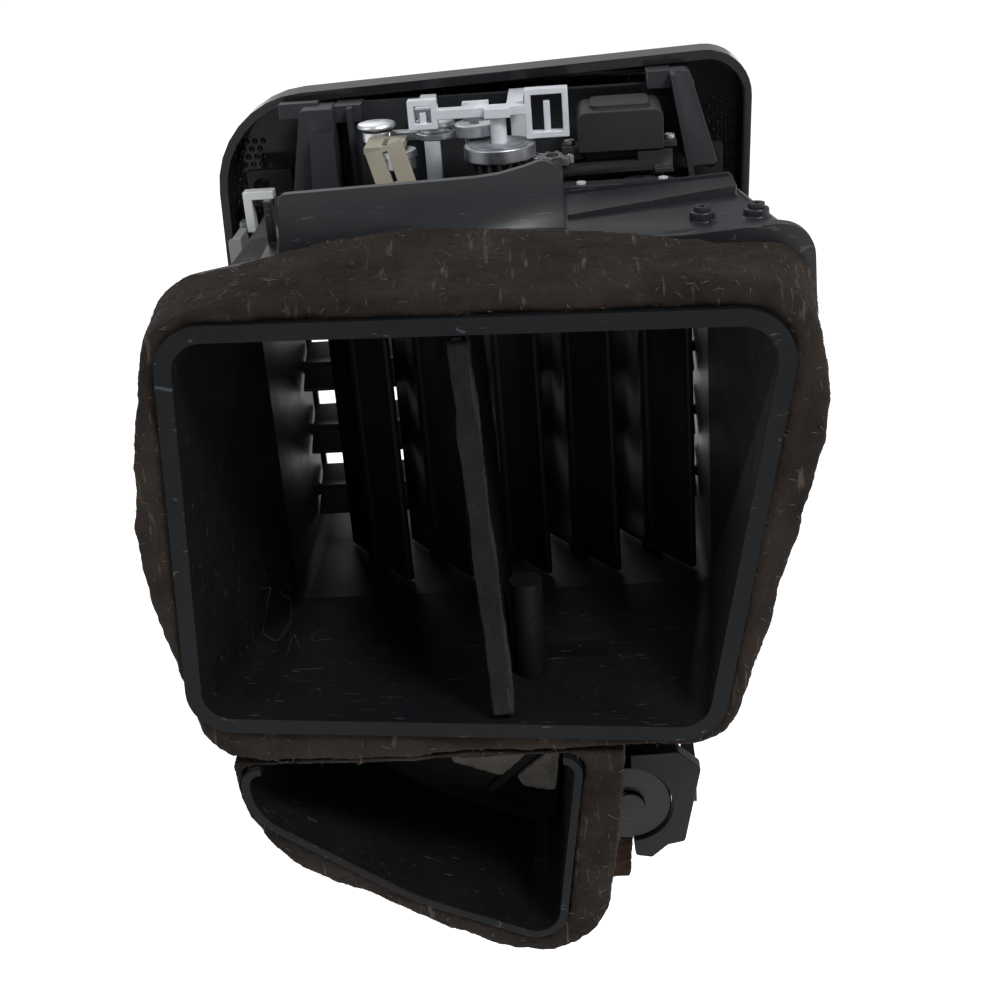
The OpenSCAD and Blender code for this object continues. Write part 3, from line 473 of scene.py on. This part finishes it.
def rounded_copy(node, width, segments=2, degrees=32):
    """The CAD node's mesh with its sharp edges rounded to width in millimetres, or less where it must."""
    surface = surface_of(node)
    mesh = flat_copy(node, width, degrees)
    weight = mesh.attributes["bevel_weight_edge"].data
    piece = bpy.data.objects.new(node + "_work", mesh)
    scene.collection.objects.link(piece)
    bevel = piece.modifiers.new("edges", "BEVEL")
    bevel.width = width * MM
    bevel.segments = segments
    bevel.limit_method = "WEIGHT"
    bevel.use_clamp_overlap = False
    bevel.harden_normals = True
    for _ in range(SHRINK_ROUNDS):
        result = evaluated(piece)
        faulty = faulty_faces(result, surface, STRAY_SHARE * width * MM)
        if not faulty:
            break
        for face in faulty:
            for loop in mesh.polygons[face].loop_indices:
                edge = weight[mesh.loops[loop].edge_index]
                edge.value = edge.value * SHRINK if edge.value > SHRINK_END else 0.0
        mesh.update()
    bpy.data.objects.remove(piece)
    return result


def add_soft(name, node, voxel, smoothing, bumps):
    """A foam or felt piece: the CAD solid remeshed, its edges relaxed and its skin made uneven.

    bumps is a list of (wavelength, height) in millimetres."""
    mesh = frame["nodes"][node].data.copy()
    piece = bpy.data.objects.new(name + "_work", mesh)
    scene.collection.objects.link(piece)
    remesh = piece.modifiers.new("voxels", "REMESH")
    remesh.mode = "VOXEL"
    remesh.voxel_size = voxel * MM
    relax = piece.modifiers.new("relax", "SMOOTH")
    relax.factor = 0.5
    relax.iterations = smoothing
    mesh = evaluated(piece)
    bpy.data.objects.remove(piece)
    normals = [v.normal.copy() for v in mesh.vertices]
    for vertex, normal in zip(mesh.vertices, normals):
        rise = 0.0
        for k, (wavelength, height) in enumerate(bumps):
            spot = vertex.co / (wavelength * MM) + Vector((k * 7.3, k * 3.1, k * 5.7))
            rise += height * noise.noise(spot)
        vertex.co += normal * rise * MM
    mesh.update()
    mesh.shade_smooth()
    return new_piece(name, mesh, NODE_BODY[node], NODE_SLOT[node], (node,))


def add_fibres(name, source, count, length, width, slot, look, lift=0.35, keep=None):
    """Short three-sided hairs that grow out of a soft piece's skin, leaning over it."""
    mesh = source.data
    areas = np.array([p.area for p in mesh.polygons])
    picks = np.searchsorted(np.cumsum(areas), [random.random() * areas.sum() for _ in range(count)])
    points = []
    faces = []
    for pick in picks:
        polygon = mesh.polygons[min(int(pick), len(mesh.polygons) - 1)]
        if keep and not keep(polygon):
            continue
        root = polygon.center
        normal = polygon.normal
        along = Vector((random.gauss(0, 1), random.gauss(0, 1), random.gauss(0, 1)))
        along = (along - normal * along.dot(normal)).normalized()
        side = normal.cross(along)
        reach = length * random.uniform(0.5, 1.3) * MM
        bend = random.uniform(0.2, 1.0) * lift
        sway = side * random.uniform(-0.25, 0.25)
        base = len(points)
        for step in range(3):
            t = step / 2
            middle = root - normal * 0.15 * MM + (along * t + sway * t * t) * reach
            middle += normal * (t * bend * reach + 0.12 * MM * (step > 0))
            thick = width * MM * (1 - 0.6 * t)
            for k in range(3):
                angle = k * math.tau / 3
                points.append(middle + (side * math.cos(angle) + normal * math.sin(angle)) * thick)
        for step in range(2):
            for k in range(3):
                low = base + step * 3
                faces.append((low + k, low + (k + 1) % 3, low + 3 + (k + 1) % 3, low + 3 + k))
        faces.append((base + 2, base + 1, base))
        faces.append((base + 6, base + 7, base + 8))
    hairs = bpy.data.meshes.new(name)
    hairs.from_pydata(points, [], faces)
    hairs.update()
    piece = new_piece(name, hairs, source_body(source), slot)
    piece.data.materials[0] = look
    return piece


def source_body(piece):
    """The body that a soft piece rides on."""
    return SOFT_BODY[piece.name]


def add_domes(name, body, slot, origin, across, down, columns, rows, radius):
    """A patch of small domes on the bezel's flat face; origin, across and down are in millimetres."""
    bm = bmesh.new()
    skin = surface_of("bezel")
    origin, across, down = Vector(origin), Vector(across), Vector(down)
    outward = down.cross(across).normalized()
    turn = outward.to_track_quat("Z", "Y").to_matrix().to_4x4()
    for i in range(columns):
        for j in range(rows):
            spot = origin + across * (i + 0.5 * (j % 2)) + down * j
            if skin.find_nearest(spot * MM)[3] > 0.1 * MM:
                continue
            place = Matrix.Translation(spot * MM) @ turn @ Matrix.Diagonal((1, 1, 0.55, 1))
            bmesh.ops.create_uvsphere(bm, u_segments=12, v_segments=8, radius=radius * MM, matrix=place)
    mesh = bpy.data.meshes.new(name)
    bm.to_mesh(mesh)
    bm.free()
    mesh.shade_smooth()
    return new_piece(name, mesh, body, slot)


# --- carried-over CAD parts, edges rounded --------------------------------------

# Rounding of each CAD node's edges, in millimetres
EDGE = {
    "vane_box": 0.3, "mechanism_frame": 0.35, "duct_shroud": 0.5, "lower_duct": 0.5,
    "centre_partition": 0.3, "gear_bridge": 0.22, "vane_motor": 0.3, "motor_connector": 0.15,
    "flap_gearbox": 0.35, "flap_motor_bracket": 0.3, "flap_connector": 0.2, "flap_motor_can": 0.5,
    "fin_bearing_left": 0.2, "fin_bearing_right": 0.2, "fin_link": 0.25, "fin_link_hook": 0.3,
    "thumb_slider": 0.3, "slider_fork": 0.15, "flap": 0.2, "flap_coupling": 0.2, "drive_link": 0.35,
    "link_pin_head": 0.12, "slotted_tongue": 0.15, "drive_wheel": 0.1, "wheel_disc": 0.5,
    "motor_pinion": 0.1, "upper_crank": 0.2, "vane_link": 0.2, "motor_screws": 0.12,
    "box_screws": 0.12, "gearbox_screws": 0.12,
}
EDGE.update({f"vane_{i}": 0.2 for i in range(1, 6)})
EDGE.update({f"vane_crank_{i}": 0.15 for i in range(1, 6)})
EDGE.update({f"fin_{i}": 0.15 for i in range(1, 6)})

add_camera()
add_studio()
for node, width in EDGE.items():
    rounded = new_piece(node + "_part", rounded_copy(node, width), NODE_BODY[node], NODE_SLOT[node], (node,))
    rounded.data.materials[0] = LOOKS[NODE_LOOK[node]]

# --- foam and felt -------------------------------------------------------------------

SOFT_BODY = {
    "main_foam": "housing", "lower_foam": "housing", "felt_strip": "housing",
    "flap_facing": "flap", "actuator_pad": "housing",
}
COARSE = ((16, 0.9), (5, 0.45), (1.7, 0.22), (0.8, 0.12))
main_foam = add_soft("main_foam", "main_foam_gasket", 0.75, 26, COARSE)
lower_foam = add_soft("lower_foam", "lower_foam_gasket", 0.6, 12, COARSE)
felt_strip = add_soft("felt_strip", "partition_edge_strip", 0.45, 5, ((22, 1.0), (7, 0.4), (1.2, 0.14)))
flap_facing = add_soft("flap_facing", "flap_foam", 0.5, 6, ((9, 0.4), (1.5, 0.2)))
actuator_pad = add_soft("actuator_pad", "foam_pad", 0.45, 8, ((6, 0.4), (1.4, 0.2)))


def outside(polygon):
    """True for skin that faces up, back or sideways, away from the ducts."""
    return polygon.normal.y > -0.2


hair_dark = fibre("hair_dark", (0.022, 0.017, 0.014))
hair_light = fibre("hair_light", (0.2, 0.165, 0.135))
hair_felt = fibre("hair_felt", (0.03, 0.03, 0.03))
add_fibres("main_foam_nap", main_foam, 9000, 1.5, 0.05, "foam", hair_dark, 0.5, outside)
add_fibres("main_foam_lint", main_foam, 1500, 1.9, 0.05, "foam", hair_light, 0.25, outside)
add_fibres("lower_foam_nap", lower_foam, 3500, 1.4, 0.05, "foam", hair_dark, 0.5, outside)
add_fibres("lower_foam_lint", lower_foam, 600, 1.7, 0.05, "foam", hair_light, 0.25, outside)
add_fibres("felt_nap", felt_strip, 2500, 0.9, 0.035, "felt", hair_felt, 0.6)
add_fibres("pad_nap", actuator_pad, 500, 1.1, 0.05, "brown_foam", hair_dark, 0.6)

# --- bezel: rounded shell with dimple patches on the inside of its face --------------

new_piece("bezel_shell", rounded_copy("bezel", 0.7, 3), "housing", "gloss_black", ("bezel",))
bezel_low, bezel_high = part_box("bezel")
pocket_y = bezel_low.y / MM + 2.4
right_x = bezel_low.x / MM
left_x = bezel_high.x / MM
add_domes("bezel_dimples_right", "housing", "gloss_black", (right_x + 4.6, pocket_y, 66), (2.3, 0, 0),
          (0, 0, -2.1), 3, 10, 0.8)
add_domes("bezel_dimples_left", "housing", "gloss_black", (left_x - 15, pocket_y, 62), (2.3, 0, 0),
          (0, 0, -2.1), 5, 10, 0.8)

for node, piece in frame["nodes"].items():
    piece.data.materials.clear()
    piece.data.materials.append(LOOKS[NODE_LOOK[node]])
